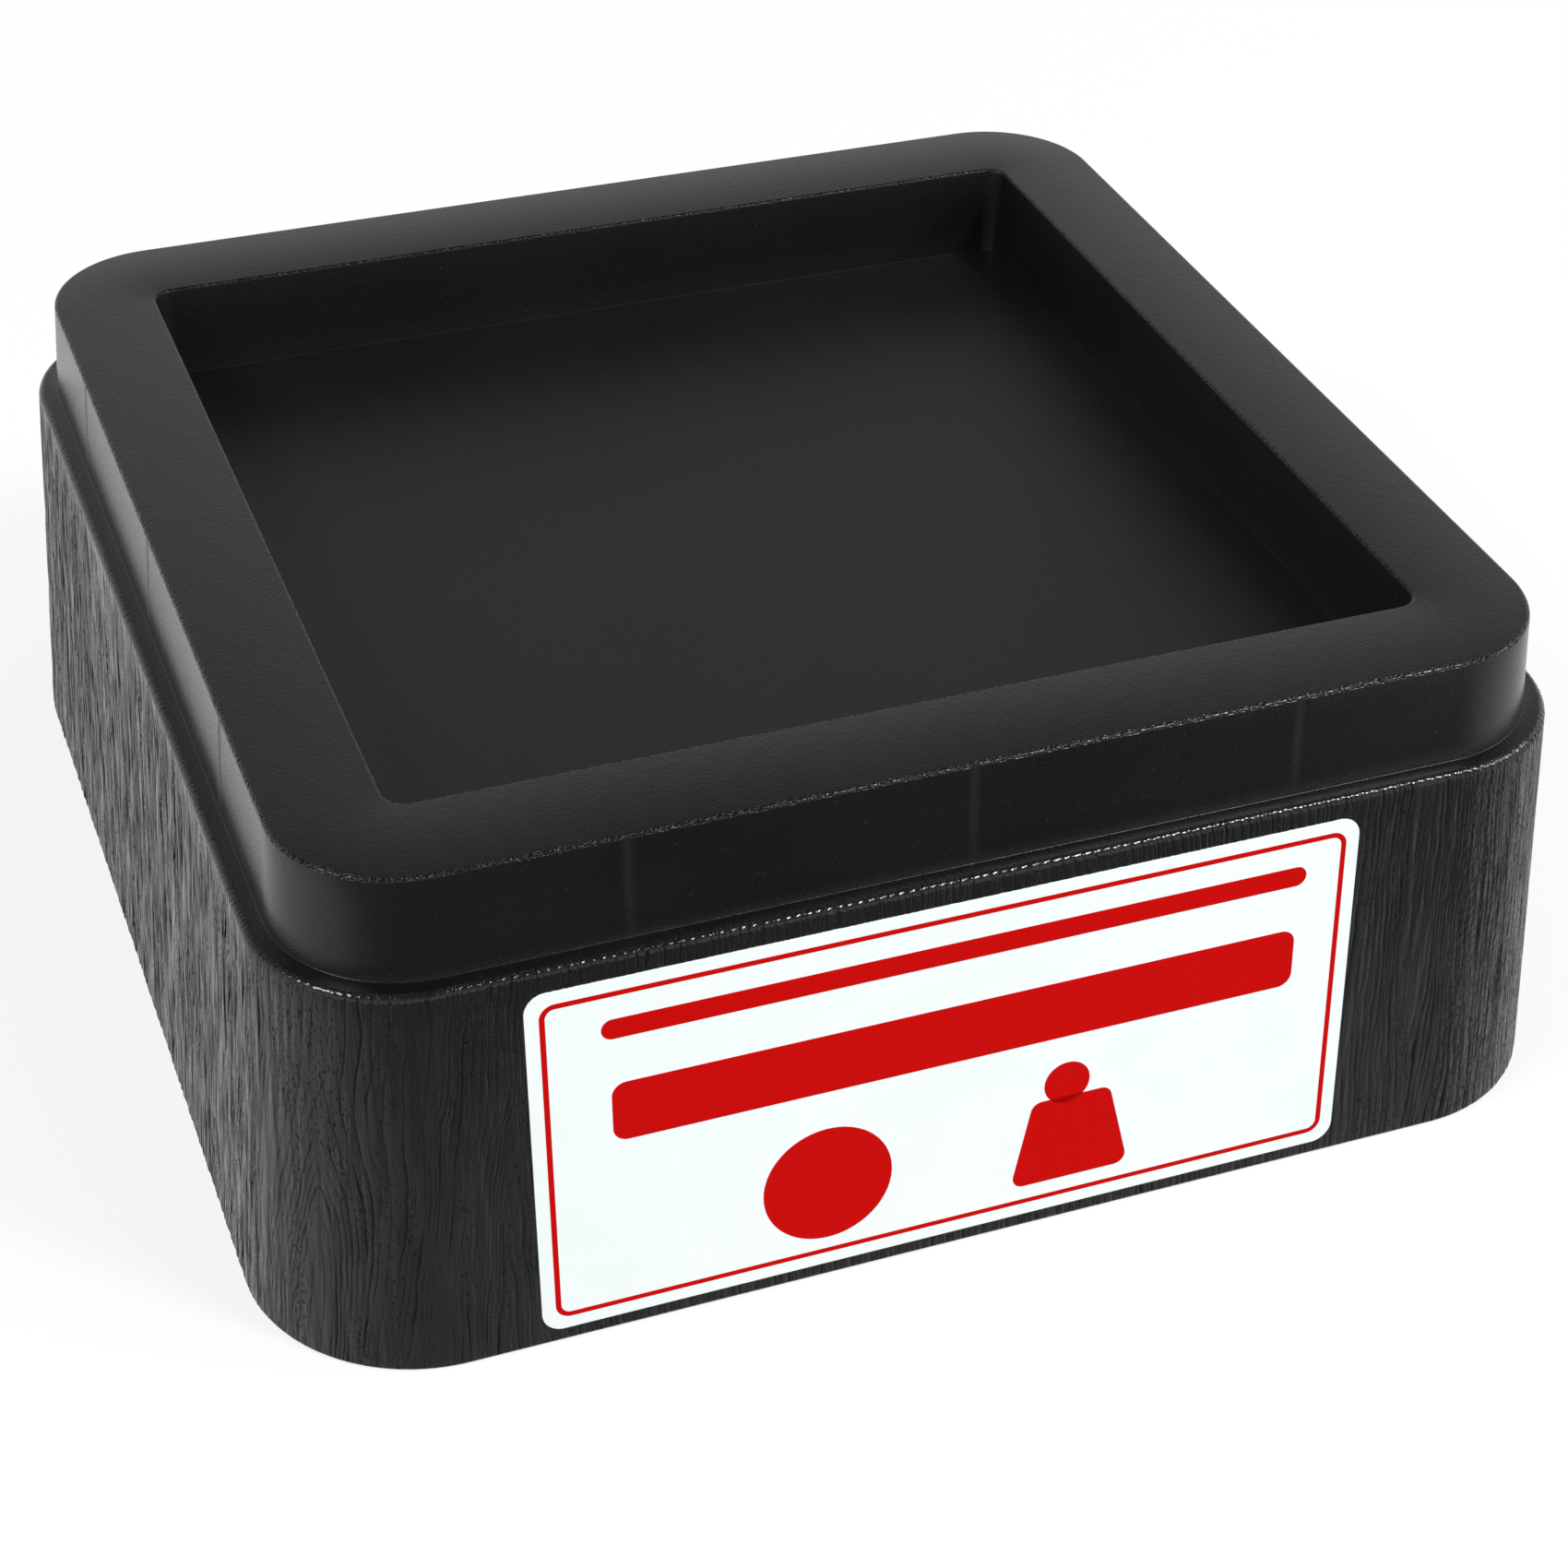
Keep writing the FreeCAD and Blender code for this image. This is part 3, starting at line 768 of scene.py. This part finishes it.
def rounded_shape(corners, radius, steps=6):
    """Points round a convex shape given by its corners, counter-clockwise, each rounded."""
    ring = []
    for index, here in enumerate(corners):
        here = Vector(here)
        before = (Vector(corners[index - 1]) - here).normalized()
        after = (Vector(corners[(index + 1) % len(corners)]) - here).normalized()
        half_angle = before.angle(after) / 2
        centre = here + (before + after).normalized() * (radius / math.sin(half_angle))
        start = here + before * (radius / math.tan(half_angle)) - centre
        end = here + after * (radius / math.tan(half_angle)) - centre
        sweep = start.angle_signed(end)
        for step in range(steps + 1):
            turn = Matrix.Rotation(-sweep * step / steps, 2)
            ring.append(tuple(centre + turn @ start))
    return ring


def printed_shapes():
    """Plain shapes in the places of the printed matter: a thin and a bold bar, a disc, and a weight with a knob."""
    return (
        rounded_box((-2.1, 47.9), (97.4, 3.0), 1.5, 10),
        rounded_box((-2.1, 35.0), (95.4, 9.0), 2.0, 10),
        disc((-20.95, 15.6), 9.0, 72),
        disc((13.05, 22.9), 3.3, 48),
        rounded_shape([(5.2, 7.0), (22.6, 7.0), (19.4, 20.6), (8.2, 20.6)], 1.6),
    )


def front_label(white, red):
    """The printed label: a film with a soft edge, and on it a frame and plain shapes."""
    sheet = bmesh.new()
    middle = (LABEL_MIDDLE, LABEL_FOOT + LABEL_HEIGHT / 2)

    def inset_box(inset, corner):
        return rounded_box(middle, (LABEL_WIDTH - 2 * inset, LABEL_HEIGHT - 2 * inset), corner, 16)

    def ring_points(ring, proud):
        return [sheet.verts.new(on_front(x, up, proud)) for x, up in ring]

    def join(first, second, slot):
        for index in range(len(first)):
            after = (index + 1) % len(first)
            sheet.faces.new((first[index], first[after], second[after], second[index])).material_index = slot

    rings = [ring_points(inset_box(inset, LABEL_CORNER - inset), proud) for inset, proud in FILM_STEPS]
    for first, second in zip(rings[:-1], rings[1:]):
        join(first, second, 0)
    sheet.faces.new(rings[-1]).material_index = 0
    sheet.faces.new(list(reversed(rings[0]))).material_index = 0

    outer = ring_points(inset_box(FRAME_INSET, FRAME_CORNER), INK_PROUD)
    inner = ring_points(inset_box(FRAME_INSET + FRAME_WIDTH, FRAME_CORNER - FRAME_WIDTH), INK_PROUD)
    join(outer, inner, 1)
    for ring in printed_shapes():
        sheet.faces.new(ring_points(ring, INK_PROUD)).material_index = 1

    mesh = bpy.data.meshes.new("front_label_film")
    sheet.to_mesh(mesh)
    sheet.free()
    mesh.materials.append(white)
    mesh.materials.append(red)
    return add_object("front_label_film", mesh)


# Studio

# How bright the surround looks low down in each direction, in degrees from the right towards the back.
SURROUND = (
    (-180, 0.76), (-159, 0.70), (-135, 0.48), (-119, 0.40), (-88, 0.36),
    (-69, 0.42), (-45, 0.54), (-15, 0.80), (21, 0.96), (60, 1.25),
    (90, 1.12), (111, 1.02), (140, 0.84), (161, 0.82), (180, 0.76),
)

# How strong the surround's light is on matt faces, the same from every side.
EVEN_LIGHT = 0.45

# Direction, width and height in metres and watts of each soft lamp, all at one distance.
LAMPS = (
    ("key_lamp", (-0.64, -0.18, 0.72), 0.46, 0.46, 7.0),
    ("front_lamp", (0.42, -0.52, 0.74), 0.26, 0.26, 7.0),
    ("side_lamp", (0.80, -0.26, 0.54), 0.80, 0.22, 4.0),
)
LAMP_DISTANCE = 1.3

# The camera as fitted to the photograph: degrees off the front, up and rolled, the point on the floor that it
# looks at and its distance from there in millimetres, and its focal length.
CAMERA_TURN, CAMERA_LIFT, CAMERA_ROLL = -20.993, 35.738, 1.138
CAMERA_AIM = (12.42, 12.53, 0.0)
CAMERA_DISTANCE = 525.84
FOCAL_LENGTH = 74.854


def mix_shaders(tree, share, first, second):
    """From the first shader to the second as share goes from 0 to 1."""
    node = tree.nodes.new("ShaderNodeMixShader")
    plug(tree, share, node.inputs[0])
    tree.links.new(first.outputs[0], node.inputs[1])
    tree.links.new(second.outputs[0], node.inputs[2])
    return node


def studio_floor():
    """A floor that is white to look at, pale under the riser, matt to light and partly left out of reflections."""
    mesh = bpy.data.meshes.new("studio_floor")
    mesh.from_pydata([(-4, -4, 0), (4, -4, 0), (4, 4, 0), (-4, 4, 0)], [], [(0, 1, 2, 3)])
    floor = add_object("studio_floor", mesh)
    material = bpy.data.materials.new("studio_floor_white")
    material.use_nodes = True
    material.cycles.emission_sampling = "NONE"
    tree = material.node_tree
    tree.nodes.clear()
    place = add_node(tree, "ShaderNodeSeparateXYZ", Vector=coordinates(tree, "Object"))
    x, y = Wire(tree, place.outputs["X"]), Wire(tree, place.outputs["Y"])
    kept = y.ramp(-0.176, -0.120) + x.ramp(0.12, 0.19) + x.ramp(0.0, -0.06) * 0.2
    kept = kept.math("MINIMUM", 1.0) * 0.72 + 0.28
    through = add_node(tree, "ShaderNodeCombineColor", Red=kept, Green=kept, Blue=kept)
    glow = add_node(tree, "ShaderNodeBsdfTransparent", Color=Wire(tree, through.outputs[0]))
    white = add_node(tree, "ShaderNodeEmission", Color=(1, 1, 1, 1), Strength=1.0)
    paper = add_node(tree, "ShaderNodeBsdfDiffuse", Color=(0.75, 0.75, 0.75, 1))
    pale = add_node(tree, "ShaderNodeBsdfDiffuse", Color=(0.95, 0.95, 0.95, 1))
    clear = tree.nodes.new("ShaderNodeBsdfTransparent")
    path = tree.nodes.new("ShaderNodeLightPath")
    facing = tree.nodes.new("ShaderNodeNewGeometry")
    shadowed = (x * x + y * y).math("SQRT").ramp(0.45, 0.15, 0.0, 0.24)
    looked_at = mix_shaders(tree, shadowed, white, pale)
    matt = mix_shaders(tree, Wire(tree, path.outputs["Is Camera Ray"]), paper, looked_at)
    shown = mix_shaders(tree, Wire(tree, path.outputs["Is Glossy Ray"]), matt, glow)
    one_sided = mix_shaders(tree, Wire(tree, facing.outputs["Backfacing"]), shown, clear)
    out = tree.nodes.new("ShaderNodeOutputMaterial")
    tree.links.new(one_sided.outputs[0], out.inputs["Surface"])
    mesh.materials.append(material)


def studio_surround():
    """A surround that is white to look at, even as light, and brighter from some sides in reflections."""
    world = bpy.data.worlds.new("studio_surround")
    bpy.context.scene.world = world
    world.use_nodes = True
    world.cycles.sampling_method = "NONE"
    tree = world.node_tree
    background = next(node for node in tree.nodes if node.type == "BACKGROUND")
    way = add_node(tree, "ShaderNodeSeparateXYZ", Vector=coordinates(tree, "Generated"))
    upward = Wire(tree, way.outputs["Z"])
    turn = Wire(tree, way.outputs["Y"]).math("ARCTAN2", Wire(tree, way.outputs["X"])) / (2 * math.pi) + 0.5
    levels = tree.nodes.new("ShaderNodeValToRGB")
    plug(tree, turn, levels.inputs[0])
    levels.color_ramp.interpolation = "LINEAR"
    stops = levels.color_ramp.elements
    while len(stops) > 1:
        stops.remove(stops[-1])
    for index, (degrees, value) in enumerate(SURROUND):
        stop = stops[0] if index == 0 else stops.new(degrees / 360 + 0.5)
        stop.position = degrees / 360 + 0.5
        stop.color = (value, value, value, 1)
    low = Wire(tree, levels.outputs["Color"])
    high = upward.ramp(0.10, 0.85, 0.90, 0.12)
    soft = low + (high - low) * upward.ramp(-0.30, 0.12)
    path = tree.nodes.new("ShaderNodeLightPath")
    level = EVEN_LIGHT + (soft - EVEN_LIGHT) * Wire(tree, path.outputs["Is Glossy Ray"])
    level = level + (1.0 - level) * Wire(tree, path.outputs["Is Camera Ray"])
    plug(tree, level, background.inputs["Strength"])
    background.inputs["Color"].default_value = (1, 1, 1, 1)


def studio_lamps():
    """Three soft lamps that face the riser."""
    for name, way, width, height, energy in LAMPS:
        lamp = bpy.data.lights.new(name, "AREA")
        lamp.shape = "ELLIPSE"
        lamp.size = width
        lamp.size_y = height
        lamp.energy = energy
        stand = add_object(name, lamp)
        way = Vector(way).normalized()
        stand.location = way * LAMP_DISTANCE
        stand.rotation_euler = way.to_track_quat("Z", "Y").to_euler()


def camera():
    """The camera at the photograph's viewing angle."""
    turn, lift, roll = math.radians(CAMERA_TURN), math.radians(CAMERA_LIFT), math.radians(CAMERA_ROLL)
    back = Vector((math.sin(turn) * math.cos(lift), -math.cos(turn) * math.cos(lift), math.sin(lift)))
    right = (-back).cross(Vector((0, 0, 1))).normalized()
    up = right.cross(-back)
    across = right * math.cos(roll) + up * math.sin(roll)
    upright = up * math.cos(roll) - right * math.sin(roll)
    data = bpy.data.cameras.new("camera")
    data.sensor_width = 36.0
    data.lens = FOCAL_LENGTH
    data.clip_start = 0.01
    data.clip_end = 20.0
    eye = add_object("camera", data)
    place = Vector(CAMERA_AIM) * MM + back * CAMERA_DISTANCE * MM
    eye.matrix_world = Matrix.Translation(place) @ Matrix((across, upright, back)).transposed().to_4x4()
    bpy.context.scene.camera = eye


# Assembly

camera()
studio_floor()
studio_surround()
studio_lamps()
bpy.context.scene.view_settings.view_transform = "Standard"

grained = grained_plastic()
satin = satin_plastic()
moulded = moulded_plastic()

skin = outer_skin()
joined = bmesh.new()
joined.from_mesh(skin)
joined.from_mesh(hollow())
for face in joined.faces:
    if face.material_index != MOULDED:
        face.smooth = True
joined.to_mesh(skin)
joined.free()
for material in (grained, satin, moulded):
    skin.materials.append(material)
close_foot(skin)
skin = press_grain(skin, grained)
trace_round(skin)
skin.name = "riser"
riser = add_object("riser", skin)
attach(riser, "root")
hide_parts("riser_body")

label = front_label(label_film(), label_ink())
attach(label, "root")
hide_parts("front_label")
